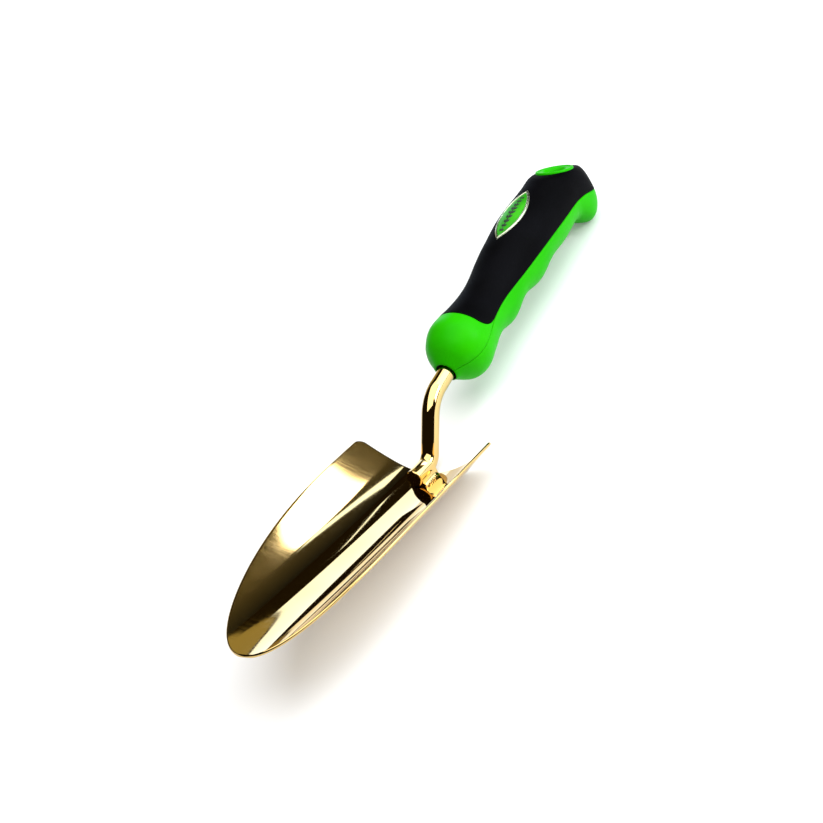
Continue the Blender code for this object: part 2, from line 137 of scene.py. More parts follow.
# Hang-up bore and the slanted flat round it
FACET_POINT = (121 * MM, 6.8 * MM)
FACET_TILT = math.radians(30)
FACET_BLEND = 1.6 * MM
BORE_RADIUS = 4.8 * MM
TUBE_RADIUS = 6.2 * MM
FLANGE_RADIUS = 9 * MM
FLANGE_RECESS = 8.5 * MM
TUBE_DEPTH = 14 * MM
BORE_END = 60 * MM

# Badge
BADGE_START = 67 * MM
BADGE_LENGTH = 33 * MM
BADGE_MIDDLE = BADGE_START + BADGE_LENGTH / 2
BADGE_HALF_WIDTH = 6.4 * MM
POINT_STRETCH = 1.6
BEZEL_WIDTH = 1.1 * MM
FACE_MARGIN = -0.8 * BEZEL_WIDTH
FACE_PROUD = 0.12 * MM
FACE_DOME = 0.3 * MM
FACE_DEPTH = 1.1 * MM
SPRIG_HALF_LENGTH = 12.1 * MM
SPRIG_HEIGHT = 0.16 * MM
STEM_WIDTH = 0.9 * MM
LEAF_WIDTH = 1.4 * MM
LEAF_PAIRS = 9

# Camera: its orbit in the tool frame, and how far its aim is from the tool's origin
CAMERA_AZIMUTH = math.radians(44.97)
CAMERA_ELEVATION = math.radians(24.88)
CAMERA_ROLL = math.radians(-22.8)
CAMERA_DISTANCE = 1300 * MM
CAMERA_AIM = Vector((-8.86, 26.67, 0)) * MM
CAMERA_LENS = 129.65

# The studio, in metres: its back wall holds the cards that the blade mirrors
WALL_Y = 0.581
CARD_GAP = 0.01
GLOW_DARK = -0.32
GLOW_FULL = 0.05
ROOM_LIGHT = 0.3
MIRRORED_ROOM_LIGHT = 0.015
AIM = (0, 0, 0.03)
WHITE = (1, 1, 1)
CREAM = (0.55, 0.66, 0.85)
COOL = (0.75, 0.88, 1)
AMBER = (1, 0.85, 0.3)


# ---------------------------------------------------------------- frames


def rest_turn():
    """Leans the tool back until the blade's heel and the hook's tip are level."""
    hook = HANDLE_ORIGIN + Matrix.Rotation(HANDLE_TILT, 3, "X") @ Vector((0, HOOK_TIP[0], -HOOK_TIP[1]))
    lean = math.atan2(hook.z + SHEET, hook.y)
    return Matrix.Rotation(-lean, 4, "X")


def tool_place():
    """The tool frame in the world: the handle's axis runs through the middle of the CAD's nose_seal piece,
    the black ring of painted shade in the handle's mouth.
    """
    low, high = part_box("nose_seal")
    turn = rest_turn()
    seal_middle = HANDLE_IN_TOOL @ Vector((0, SHADE_RING_MIDDLE, 0))
    return Matrix.Translation((low + high) / 2 - turn @ seal_middle) @ turn


HANDLE_IN_TOOL = Matrix.Translation(HANDLE_ORIGIN) @ Matrix.Rotation(HANDLE_TILT, 4, "X")
TOOL = tool_place()
HANDLE = TOOL @ HANDLE_IN_TOOL
HANDLE_AXIS = HANDLE @ Matrix.Rotation(-math.pi / 2, 4, "X")
BORE = HANDLE @ Matrix.Translation((0, *FACET_POINT)) @ Matrix.Rotation(-FACET_TILT, 4, "X")


# ---------------------------------------------------------------- profiles


def spans(first, last, count):
    return [first + (last - first) * i / count for i in range(count + 1)]


def limited(value, low=0, high=1):
    return min(max(value, low), high)


def bent_line(start, corner, end, count):
    """Points of a curve from start to end, pulled out towards a corner."""
    return [start * (1 - t) ** 2 + corner * 2 * t * (1 - t) + end * t**2 for t in spans(0, 1, count)]


def smooth_line(stations, at):
    """Catmull-Rom value at one distance along a list of (distance, value) stations."""
    last = len(stations) - 1
    index = 0
    while index < last - 1 and at > stations[index + 1][0]:
        index += 1
    x0, y0 = stations[index]
    x1, y1 = stations[index + 1]
    before = stations[max(index - 1, 0)]
    after = stations[min(index + 2, last)]
    slope0 = (y1 - before[1]) / (x1 - before[0])
    slope1 = (after[1] - y0) / (after[0] - x0)
    span = x1 - x0
    t = limited((at - x0) / span)
    return (
        y0 * (2 * t**3 - 3 * t**2 + 1)
        + y1 * (3 * t**2 - 2 * t**3)
        + slope0 * span * (t**3 - 2 * t**2 + t)
        + slope1 * span * (t**3 - t**2)
    )


def line_mm(stations, s):
    return smooth_line(stations, s / MM) * MM


def soft_min(a, b, blend):
    overlap = max(blend - abs(a - b), 0) / blend
    return min(a, b) - overlap**2 * blend / 4


def belly(s):
    """How far the finger side stands below the axis, with its scallops and the pommel hook."""
    hook_start = HOOK_LINE[0][0] * MM
    if s > hook_start:
        return line_mm(HOOK_LINE, s)
    rise = limited((s - 0.5 * FINGER_PITCH) / FINGER_PITCH)
    fade = limited((hook_start - s) / (2 * FINGER_PITCH))
    wave = math.cos(2 * math.pi * (s - FINGER_CREST) / FINGER_PITCH)
    return line_mm(BELLY_LINE, s) + FINGER_DEPTH * rise * fade * wave


def squared(value, power):
    """Pushes a sine or cosine out towards a superellipse's."""
    return math.copysign(abs(value) ** (2 / power), value)


def section_sizes(s):
    """The handle's section at s: (superellipse power, half width, half height, middle height)."""
    top = line_mm(TOP_LINE, s)
    bottom = -belly(s)
    return smooth_line(SQUARENESS, s / MM), line_mm(SIDE_LINE, s), (top - bottom) / 2, (top + bottom) / 2


def facet_height(s):
    return FACET_POINT[1] - (s - FACET_POINT[0]) * math.tan(FACET_TILT)


def skin_point(s, angle, inset):
    """A point of the handle's skin, moved in by inset, and planed off at the slanted flat."""
    power, half_width, half_height, middle = section_sizes(s)
    across = (half_width - inset) * squared(math.cos(angle), power)
    up = middle + (half_height - inset) * squared(math.sin(angle), power)
    return Vector((across, s, soft_min(up, facet_height(s) - inset, FACET_BLEND)))


def palm_point(x, s, proud):
    """A point of the palm side over x, standing proud of the skin."""
    power, half_width, half_height, middle = section_sizes(s)
    up = (1 - abs(x / half_width) ** power) ** (1 / power)
    return Vector((x, s, middle + half_height * up + proud))


def parting_angle(s, lift):
    """Angle on the section where its right side crosses the parting line."""
    power, _, half_height, middle = section_sizes(s)
    level = limited((line_mm(PARTING_LINE, s) + lift - middle) / half_height, -1)
    return math.asin(math.copysign(abs(level) ** (power / 2), level))


# ---------------------------------------------------------------- mesh helpers


def new_object(name, bm, material=None):
    """Puts a bmesh into the scene as a mesh object."""
    mesh = bpy.data.meshes.new(name)
    bm.to_mesh(mesh)
    bm.free()
    if material:
        mesh.materials.append(material)
    thing = bpy.data.objects.new(name, mesh)
    bpy.context.scene.collection.objects.link(thing)
    return thing


def smooth(mesh, angle):
    """Shades a mesh smooth, apart from the edges sharper than that angle in degrees."""
    mesh.shade_smooth()
    mesh.set_sharp_from_angle(angle=math.radians(angle))


def new_piece(name, bm, place, material, nodes, smooth_angle=40):
    bmesh.ops.remove_doubles(bm, verts=bm.verts, dist=0.002 * MM)
    bmesh.ops.dissolve_degenerate(bm, edges=bm.edges, dist=0.001 * MM)
    bmesh.ops.recalc_face_normals(bm, faces=bm.faces)
    if bm.calc_volume(signed=True) < 0:
        bmesh.ops.reverse_faces(bm, faces=bm.faces)
    bm.transform(place)
    piece = new_object(name, bm, material)
    smooth(piece.data, smooth_angle)
    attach(piece, "root")
    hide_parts(*nodes)
    return piece


def skin(bm, grid, closed=False):
    """Faces over a grid of vertices. A closed grid's rows are rings."""
    for near, far in zip(grid, grid[1:]):
        count = len(near)
        for i in range(count if closed else count - 1):
            j = (i + 1) % count
            bm.faces.new((near[i], near[j], far[j], far[i]))


def vertex_grid(bm, points):
    return [[bm.verts.new(point) for point in row] for row in points]


def capped_tube(bm, rings):
    """A solid over rings of points, closed flat at both ends."""
    rings = vertex_grid(bm, rings)
    skin(bm, rings, closed=True)
    bm.faces.new(rings[0])
    bm.faces.new(rings[-1])


def solid_between(bm, outer, inner, walled_rows=0, ended=True):
    """A solid between two point grids, walled along the first row, along the last one if it's ended, and
    down both sides for that many rows. Past those, the grids' sides meet."""
    outer = vertex_grid(bm, outer)
    inner = vertex_grid(bm, inner)
    skin(bm, outer)
    skin(bm, inner)
    skin(bm, [outer[0], inner[0]])
    if ended:
        skin(bm, [outer[-1], inner[-1]])
    for row in range(walled_rows):
        for side in (0, -1):
            bm.faces.new((outer[row][side], inner[row][side], inner[row + 1][side], outer[row + 1][side]))


def edge_steps(radius, count=4):
    """(distance in from the edge, depth below the skin) round a rounded edge."""
    turns = spans(0, math.pi / 2, count)
    return [(radius * (1 - math.cos(turn)), radius * (1 - math.sin(turn))) for turn in turns]


def cut(piece, cutters):
    """Cuts each cutter out of a piece, then throws the cutters away."""
    for cutter in cutters:
        modifier = piece.modifiers.new("cut", "BOOLEAN")
        modifier.object = cutter
        modifier.operation = "DIFFERENCE"
        modifier.solver = "EXACT"
    graph = bpy.context.evaluated_depsgraph_get()
    piece.data = bpy.data.meshes.new_from_object(piece.evaluated_get(graph))
    piece.modifiers.clear()
    for cutter in cutters:
        bpy.data.objects.remove(cutter)
    smooth(piece.data, 35)
    weighted = piece.modifiers.new("weighted_normals", "WEIGHTED_NORMAL")
    weighted.keep_sharp = True


def rod_cutter(place, radius, low, high):
    """A round cutter along local Z of `place`, from low to high."""
    bm = bmesh.new()
    bmesh.ops.create_cone(bm, cap_ends=True, segments=96, radius1=radius, radius2=radius, depth=high - low)
    bm.transform(place @ Matrix.Translation((0, 0, (low + high) / 2)))
    return new_object("cutter", bm)


# ---------------------------------------------------------------- blade


def blade_half_width(back):
    """Half width at a distance back from the rear edge towards the tip."""
    if back < TAPER_START:
        flare = BLADE_HALF_WIDTH - REAR_HALF_WIDTH
        width = REAR_HALF_WIDTH + flare * math.sin(math.pi * back / TAPER_START / 2)
    else:
        along = min((back - TAPER_START) / (BLADE_LENGTH - TAPER_START), 1)
        width = BLADE_HALF_WIDTH * (1 - along**TAPER_POWER) ** (1 / TAPER_POWER)
    if back < CORNER_RADIUS:
        width -= CORNER_RADIUS - math.sqrt(CORNER_RADIUS**2 - (CORNER_RADIUS - back) ** 2)
    return width


def blade_surface(x, back):
    """A point of the hollow face: an arc across, rising towards the tip, with wings that reach back."""
    bow = REAR_BOW * math.sin(math.pi / 2 * x / REAR_CREST) ** 2 * (1 - back / BLADE_LENGTH)
    sag = TROUGH_RADIUS - math.sqrt(TROUGH_RADIUS**2 - x**2)
    rise = TIP_RISE * (back / BLADE_LENGTH) ** TIP_RISE_POWER
    return Vector((x, bow - back, sag + rise))


def blade_normal(x, back):
    """Unit normal of the hollow face, pointing up out of the trough."""
    step = 0.1 * MM
    low, high = max(back - step, 0), min(back + step, BLADE_LENGTH)
    across = blade_surface(x + step, back) - blade_surface(x - step, back)
    along = blade_surface(x, low) - blade_surface(x, high)
    return across.cross(along).normalized()


def blade_rows():
    """Distances back from the rear edge: its rounded lip, the corners, the sides, the tip and its lip."""
    lip = [distance for distance, _ in edge_steps(SHEET / 2, 5)]
    taper = BLADE_LENGTH - lip[-1] - TAPER_START
    rows = lip + spans(lip[-1], CORNER_RADIUS, 6)[1:]
    rows += spans(CORNER_RADIUS, TAPER_START, 22)[1:]
    rows += [TAPER_START + taper * math.sin(turn) for turn in spans(0, math.pi / 2, 80)[1:]]
    rows += [BLADE_LENGTH - distance for distance in reversed(lip[:-1])]
    return rows


def lip_factor(back):
    """How much of the sheet's thickness is left where the rear edge and the tip round over."""
    radius = SHEET / 2
    near = min(back, BLADE_LENGTH - back, radius)
    return math.sqrt(max(1 - ((radius - near) / radius) ** 2, 0))


def blade_ring(back, across=72, rim=8):
    """A closed loop round the sheet's section: over the hollow face, round one rim, back underneath."""
    radius = min(SHEET / 2, blade_half_width(back))
    inner = blade_half_width(back) - radius
    half_depth = SHEET / 2 * lip_factor(back)
    face = [inner * math.sin(turn) for turn in spans(-math.pi / 2, math.pi / 2, across)]
    bends = spans(0, math.pi, rim)[1:-1]
    loop = [(x, 1) for x in face]
    loop += [(inner + radius * math.sin(bend), math.cos(bend)) for bend in bends]
    loop += [(x, -1) for x in reversed(face)]
    loop += [(-inner - radius * math.sin(bend), -math.cos(bend)) for bend in bends]
    points = []
    for x, side in loop:
        depth = SHEET / 2 - half_depth * side
        points.append(blade_surface(x, back) - blade_normal(x, back) * depth)
    return points


def make_blade(material):
    bm = bmesh.new()
    skin(bm, vertex_grid(bm, [blade_ring(back) for back in blade_rows()]), closed=True)
    return new_piece("blade_skin", bm, TOOL, material, ["blade"], 80)


# ---------------------------------------------------------------- tang and welds


def rounded_path(corners, radii, arc_steps):
    """The corner points in the YZ plane with a round bend at each inner corner."""
    path = [corners[0]]
    for before, corner, after, radius in zip(corners, corners[1:], corners[2:], radii):
        come = (before - corner).normalized()
        leave = (after - corner).normalized()
        half_turn = (math.pi - come.angle(leave)) / 2
        start = corner + come * radius * math.tan(half_turn)
        centre = corner + (come + leave).normalized() * radius / math.cos(half_turn)
        axis = come.cross(leave).normalized()
        for turn in spans(0, -2 * half_turn, arc_steps):
            path.append(centre + Matrix.Rotation(turn, 3, axis) @ (start - centre))
    path.append(corners[-1])
    return path


def tang_path():
    height = TANG_RADIUS + TANG_CLEARANCE
    along = Vector((0, math.cos(HANDLE_TILT), math.sin(HANDLE_TILT)))
    corners = [Vector((0, -FOOT_LENGTH, height)), Vector((0, KINK_Y, height)), NECK_CORNER,
               HANDLE_ORIGIN + along * TANG_IN_HANDLE]
    return rounded_path(corners, (KINK_BEND_RADIUS, NECK_BEND_RADIUS), 24)


def swept_rings(path, radii, sides):
    """Rings of a bar bent in the YZ plane, one at each path point."""
    rings = []
    for i, (point, radius) in enumerate(zip(path, radii)):
        along = (path[min(i + 1, len(path) - 1)] - path[max(i - 1, 0)]).normalized()
        out = Vector((1, 0, 0)).cross(along)
        rings.append([point + (Vector((1, 0, 0)) * math.cos(turn) + out * math.sin(turn)) * radius
                      for turn in spans(0, 2 * math.pi, sides)[:-1]])
    return rings


def make_tang(material):
    path = tang_path()
    start = path[0]
    along = (path[1] - start).normalized()
    lip = edge_steps(TANG_LIP, 5)
    path = [start + along * distance for distance, _ in lip] + path[1:]
    radii = [TANG_RADIUS - depth for _, depth in lip] + [TANG_RADIUS] * (len(path) - len(lip))
    bm = bmesh.new()
    capped_tube(bm, swept_rings(path, radii, 64))
    return new_piece("tang_bar", bm, TOOL, material, ["tang"], 50)


def weld_section(side, reach):
    """A fillet between the foot and the blade, that hollows from its toe on the blade up to the bar."""
    arm = Vector((math.cos(WELD_TOP_TURN), 0, math.sin(WELD_TOP_TURN)))
    on_bar = Vector((0, 0, TANG_RADIUS + TANG_CLEARANCE)) + arm * (TANG_RADIUS - WELD_SINK)
    toe = blade_surface(on_bar.x + reach, 0)
    toe.y = 0
    hollow = Vector((on_bar.x + WELD_SINK, 0, blade_surface(on_bar.x, 0).z + WELD_HOLLOW))
    section = [WELD_ROOT, toe - Vector((0, 0, WELD_TOE))] + bent_line(toe, hollow, on_bar, 8)
    return [Vector((side * point.x, 0, point.z)) for point in section]


def make_weld(name, side, material, node):
    """One side's fillet weld, with the ripples of its passes and tapered ends."""
    rings = []
    for along in spans(0, 1, 40):
        swell = math.sqrt(max(1 - (2 * along - 1) ** 4, 0.02))
        ripple = 1 + RIPPLE_DEPTH * math.cos(2 * math.pi * along * WELD_RIPPLES)
        shift = Vector((0, WELD_FRONT + (WELD_REAR - WELD_FRONT) * along, 0))
        rings.append([point + shift for point in weld_section(side, WELD_REACH * swell * ripple)])
    bm = bmesh.new()
    capped_tube(bm, rings)
    return new_piece(name, bm, TOOL, material, [node], 60)


# ---------------------------------------------------------------- handle shells


def grip_front(distance):
    """Where the grip starts, at a distance up the skin from the parting line: square, with a round corner."""
    near = min(distance / CORNER_LIFT, 1)
    return GRIP_FRONT + CORNER_LIFT * (1 - math.sqrt(1 - (1 - near) ** 2))


def edge_arm(s):
    """About how far the parting line is from the middle of the section."""
    _, half_width, half_height, _ = section_sizes(s)
    return min(half_width, half_height)


def column_angle(s, lift, way, column):
    """The angle of a column at s, where `way` is 1 over the palm side and -1 under the finger side.
    A column is (which edge it's near or 0, fraction between the rounded edges, distance in from its edge)."""
    right = parting_angle(s, lift)
    left = way * math.pi - right
    side, fraction, distance = column
    if side < 0:
        return right + way * distance / edge_arm(s)
    if side > 0:
        return left - way * distance / edge_arm(s)
    margin = way * EDGE_RADIUS / edge_arm(s)
    return right + margin + (left - right - 2 * margin) * fraction


def moulding_columns(count=72):
    """(column, depth) pairs across a moulding: a rounded edge, the skin, and a rounded edge."""
    rim = edge_steps(EDGE_RADIUS)[:-1]
    columns = [((-1, 0, distance), depth) for distance, depth in rim]
    columns += [((0, fraction, 0), 0) for fraction in spans(0, 1, count)]
    columns += [((1, 1, distance), depth) for distance, depth in reversed(rim)]
    return columns


def column_height(column):
    """How far up the skin a column is from the nearer parting line, at the grip's front."""
    side, fraction, distance = column
    if side:
        return distance
    return EDGE_RADIUS + min(fraction, 1 - fraction) * math.pi * GRIP_MEAN_RADIUS


def flat_lid(row):
    """Points straight across from a row's first point to its last, one for each of the row's own."""
    return [row[0].lerp(row[-1], t) for t in spans(0, 1, len(row) - 1)]


def mouth_cutters(depth):
    """The mouth's counterbore, and the tang's bore down to that depth."""
    return [rod_cutter(HANDLE_AXIS, MOUTH_RADIUS, -OUTSIDE, MOUTH_DEPTH),
            rod_cutter(HANDLE_AXIS, TANG_RADIUS + FIT, -OUTSIDE, depth)]


def make_lower_shell(material):
    """The finger side: a solid moulding under a lid at the parting line, out to where the butt closes."""
    columns = moulding_columns()
    end = pinch_point() - FIT
    lip = edge_steps(NOSE_LIP)
    rows = [(HANDLE_START + distance, depth) for distance, depth in lip]
    rows += [(s, 0) for s in spans(HANDLE_START + NOSE_LIP, NOSE_END, 26)[1:]]
    rows += [(s, 0) for s in spans(NOSE_END, BUTT_START, 84)[1:]]
    rows += [(BUTT_START + (end - BUTT_START) * math.sin(turn), 0) for turn in spans(0, math.pi / 2, 60)[1:]]
    outer = []
    for s, row_depth in rows:
        fade = pinch_fade(s, end)
        row = []
        for column, depth in columns:
            angle = column_angle(s, -SEAM / 2 * fade, -1, column)
            row.append(skin_point(s, angle, max(depth * fade, row_depth)))
        outer.append(row)
    bm = bmesh.new()
    solid_between(bm, outer, [flat_lid(row) for row in outer])
    shell = new_piece("lower_shell_moulding", bm, HANDLE, material, ["lower_shell"])
    cut(shell, mouth_cutters(TANG_IN_HANDLE + TANG_END_GAP)
        + [rod_cutter(BORE, BORE_RADIUS, -BORE_END, OUTSIDE),
           rod_cutter(BORE, TUBE_RADIUS + FIT, -TUBE_DEPTH - 4 * FIT, OUTSIDE)])
    return shell


def pinch_fade(s, pinch):
    """Thins the seam and its rounded edges out to nothing where the butt closes."""
    return limited((pinch - s) / SEAM_FADE)


def pinch_point():
    """Where the parting line runs out through the bottom of the butt."""
    low = HOOK_TIP[0]
    high = HANDLE_END
    while high - low > 0.0001 * MM:
        middle = (low + high) / 2
        if line_mm(PARTING_LINE, middle) > -belly(middle):
            low = middle
        else:
            high = middle
    return low


def dome_place(kind, step, height):
    """(s, depth) of one of the dome's rows, at that height up the skin from the parting line."""
    back = grip_front(height) - SEAM
    if kind == "lip":
        return HANDLE_START + step[0], step[1]
    if kind == "skin":
        first = HANDLE_START + NOSE_LIP
        return first + (back - EDGE_RADIUS - first) * step, 0
    if kind == "rim":
        return back - step[0], step[1]
    return back, min(GRIP_SKIN, max(EDGE_RADIUS, 0.6 * height))


def make_upper_shell(material):
    """The palm side's visible end: a dome over the tang, back to the grip's front edge."""
    rows = [("lip", step) for step in edge_steps(NOSE_LIP)] + [("skin", t) for t in spans(0, 1, 40)]
    rows += [("rim", step) for step in reversed(edge_steps(EDGE_RADIUS)[:-1])] + [("wall", None)]
    outer = []
    for kind, step in rows:
        row = []
        for column, depth in moulding_columns():
            s, row_depth = dome_place(kind, step, column_height(column))
            row.append(skin_point(s, column_angle(s, SEAM / 2, 1, column), max(depth, row_depth)))
        outer.append(row)
    bm = bmesh.new()
    solid_between(bm, outer, [flat_lid(row) for row in outer])
    shell = new_piece("upper_shell_dome", bm, HANDLE, material, ["upper_shell"])
    cut(shell, mouth_cutters(UPPER_BORE_END))
    return shell


def grip_depth(s):
    _, half_width, half_height, _ = section_sizes(s)
    return min(GRIP_SKIN, 0.5 * min(half_width, half_height))


def grip_place(kind, step, front):
    """(s, depth) of one of the grip's rows, where the grip starts at `front`."""
    if kind == "rim":
        return front + step[0], step[1]
    if kind == "skin":
        first = front + EDGE_RADIUS
        return first + (GRIP_BUTT_START - first) * step, 0
    if kind == "butt":
        return GRIP_BUTT_START + (HANDLE_END - GRIP_BUTT_RADIUS - GRIP_BUTT_START) * step, 0
    return HANDLE_END - step[0], step[1]


def make_palm_grip(material):
    """The soft grip: a skin over the palm side that wraps the butt, with a rounded edge all round."""
    pinch = pinch_point()
    rows = [("rim", step) for step in edge_steps(EDGE_RADIUS)[:-1]] + [("skin", t) for t in spans(0, 1, 110)]
    rows += [("butt", math.sin(turn)) for turn in spans(0, math.pi / 2, 24)[1:]]
    rows += [("cap", step) for step in reversed(edge_steps(GRIP_BUTT_RADIUS, 6)[:-1])] + [("end", (0, 0))]
    outer = []
    inner = []
    for kind, step in rows:
        outer_row = []
        inner_row = []
        for column, depth in moulding_columns():
            s, row_depth = grip_place(kind, step, grip_front(column_height(column)))
            fade = pinch_fade(s, pinch)
            angle = column_angle(s, SEAM / 2 * fade, 1, column)
            point = skin_point(s, angle, max(depth * fade, row_depth))
            s_under = min(s, GRIP_LINING_END + (s - GRIP_LINING_END) * 0.3)
            under = skin_point(s_under, angle, max(depth, grip_depth(s_under)))
            if kind == "end":
                point = Vector((0, s, section_sizes(s)[3]))
                under = Vector((0, s_under, section_sizes(s_under)[3]))
            outer_row.append(point)
            inner_row.append(under)
        outer.append(outer_row)
        inner.append(inner_row)
    past_pinch = [abs(row[0].x) < 0.01 * MM for row in outer]
    bm = bmesh.new()
    solid_between(bm, outer, inner, past_pinch.index(True), ended=False)
    grip = new_piece("palm_grip_skin", bm, HANDLE, material, ["palm_grip"])
    cut(grip, [rod_cutter(BORE, FLANGE_RECESS, -OUTSIDE, OUTSIDE)])
    return grip


# ---------------------------------------------------------------- turned pieces


def turned(name, profile, place, material, node, sides=128):
    """A ring turned about local Z of `place` from a closed (radius, height) outline in mm."""
    rings = []
    for turn in spans(0, 2 * math.pi, sides)[:-1]:
        arm = Vector((math.cos(turn), math.sin(turn), 0))
        rings.append([(arm * radius + Vector((0, 0, height))) * MM for radius, height in profile])
    return closed_loop(name, rings, place, material, node)


def closed_loop(name, rings, place, material, node):
    """A piece over a loop of rings, whose last one joins the first."""
    bm = bmesh.new()
    rings = vertex_grid(bm, rings)
    skin(bm, rings + [rings[0]], closed=True)
    return new_piece(name, bm, place, material, [node], 50)


def rounded_profile(corners, radius):
    """A closed (radius, height) outline with every corner rounded off."""
    points = []
    for i, corner in enumerate(corners):
        here = Vector(corner)
        before = Vector(corners[i - 1])
        after = Vector(corners[(i + 1) % len(corners)])
        reach = min(radius, (before - here).length * 0.45, (after - here).length * 0.45)
        start = here + (before - here).normalized() * reach
        end = here + (after - here).normalized() * reach
        points += [tuple(point) for point in bent_line(start, here, end, 5)]
    return points


def make_hang_eyelet(material):
    """A flanged bush with a raised rim, a dished face and a tube that lines the bore."""
    bore = BORE_RADIUS / MM
    tube = TUBE_RADIUS / MM
    rim = FLANGE_RADIUS / MM
    end = -TUBE_DEPTH / MM
    corners = [(bore, end), (bore, -0.6), (bore + 0.9, 0.55), (rim - 1.3, 0.55), (rim - 1, 0.95),
               (rim - 0.25, 0.95), (rim, 0.2), (rim, -2.2), (tube, -2.2), (tube, end)]
    profile = rounded_profile(corners, 0.35)
    return turned("hang_eyelet_bush", profile, BORE, material, "hang_eyelet")


def make_mouth_shade(material):
    """A black ring that fills the mouth of the handle round the tang: painted shade, standing in for the dark
    gap there.
    """
    profile = rounded_profile([(4.02, -0.9), (4.5, -1.3), (5, -0.9), (5, 1.2), (4.02, 1.2)], 0.3)
    return turned("painted_shade_ring", profile, HANDLE_AXIS, material, "nose_seal")


# ---------------------------------------------------------------- badge


def badge_edge(turn_fraction, margin):
    """(x, s) on the pointed oval's edge, moved out by margin. It goes once round from the front point as
    the fraction runs from 0 to 1."""
    half_length = BADGE_LENGTH / 2 + margin * POINT_STRETCH
    half_width = BADGE_HALF_WIDTH + margin
    radius = (half_length**2 + half_width**2) / (2 * half_width)
    side = 1 if turn_fraction < 0.5 else -1
    turn = math.asin(half_length / radius) * ((turn_fraction % 0.5) * 4 - 1)
    x = side * (radius * math.cos(turn) - radius + half_width)
    return x, BADGE_MIDDLE + side * radius * math.sin(turn)


def badge_turns(count=120):
    return spans(0, 1, count)[:-1]


def face_height(reach):
    """How proud the badge's domed face is of the grip, where reach is 0 in the middle and 1 at the edge."""
    return FACE_PROUD + FACE_DOME * (1 - reach**2)


def make_badge_bezel(material):
    """A rounded rim, swept round the pointed oval."""
    half = [(0, -1), (0, 0.2), (0.12, 0.42), (0.4, 0.55)]
    profile = half + [(BEZEL_WIDTH / MM - inward, proud) for inward, proud in reversed(half)]
    rings = []
    for fraction in badge_turns():
        rings.append([palm_point(*badge_edge(fraction, -inward * MM), proud * MM)
                      for inward, proud in profile])
    return closed_loop("badge_bezel_ring", rings, HANDLE, material, "badge_bezel")


def make_badge_plate(material):
    """The badge's face, a little domed, down inside its rim."""
    edge = [badge_edge(fraction, FACE_MARGIN) for fraction in badge_turns()]
    rings = []
    for reach in spans(0, 1, 14):
        rings.append([palm_point(x * reach, BADGE_MIDDLE + (s - BADGE_MIDDLE) * reach, face_height(reach))
                      for x, s in edge])
    rings.append([palm_point(x, s, -FACE_DEPTH) for x, s in edge])
    bm = bmesh.new()
    grid = vertex_grid(bm, rings)
    skin(bm, grid, closed=True)
    bm.faces.new(grid[-1])
    return new_piece("badge_plate_face", bm, HANDLE, material, ["badge_plate"], 50)


def motif_leaf(bm, root, tip, width):
    """A raised leaf with a ridge along its vein, between two points of the badge given as (x, s)."""
    root = Vector(root)
    along = Vector(tip) - root
    side = Vector((-along.y, along.x)).normalized()
    rows = []
    for t in spans(0, 1, 10):
        half = width / 2 * math.sin(math.pi * t**0.8) + 0.03 * MM
        row = []
        for across in spans(-1, 1, 4):
            place = root + along * t + side * half * across
            lift = SPRIG_HEIGHT * (1 - across**2) * min(1, 4 * t * (1 - t) + 0.2)
            row.append(palm_point(place.x, place.y, sprig_base(place) + lift))
        rows.append(row)
    floor = [[point - Vector((0, 0, 0.3 * MM + SPRIG_HEIGHT)) for point in row] for row in rows]
    solid_between(bm, rows, floor, len(rows) - 1)


def sprig_base(place):
    """How proud the foot of a leaf is at a point (x, s): just under the badge's face."""
    reach = max(abs(place.x) / BADGE_HALF_WIDTH, abs(place.y - BADGE_MIDDLE) / (BADGE_LENGTH / 2))
    return face_height(reach) - 0.01 * MM


def make_badge_motif(material):
    """A plain sprig: a stem along the badge and pairs of leaves, the largest in the middle."""
    bm = bmesh.new()
    start = BADGE_MIDDLE - SPRIG_HALF_LENGTH
    motif_leaf(bm, (0, start), (0, BADGE_MIDDLE + SPRIG_HALF_LENGTH), STEM_WIDTH)
    for i in range(LEAF_PAIRS):
        s = start + 2 * SPRIG_HALF_LENGTH * (i + 0.3) / LEAF_PAIRS
        size = (2.1 - abs(2 * i / (LEAF_PAIRS - 1) - 1)) * MM
        for side in (-1, 1):
            motif_leaf(bm, (side * 0.15 * MM, s), (side * size, s + 0.9 * size), LEAF_WIDTH)
    return new_piece("badge_sprig", bm, HANDLE, material, ["badge_plate"], 60)


# ---------------------------------------------------------------- materials


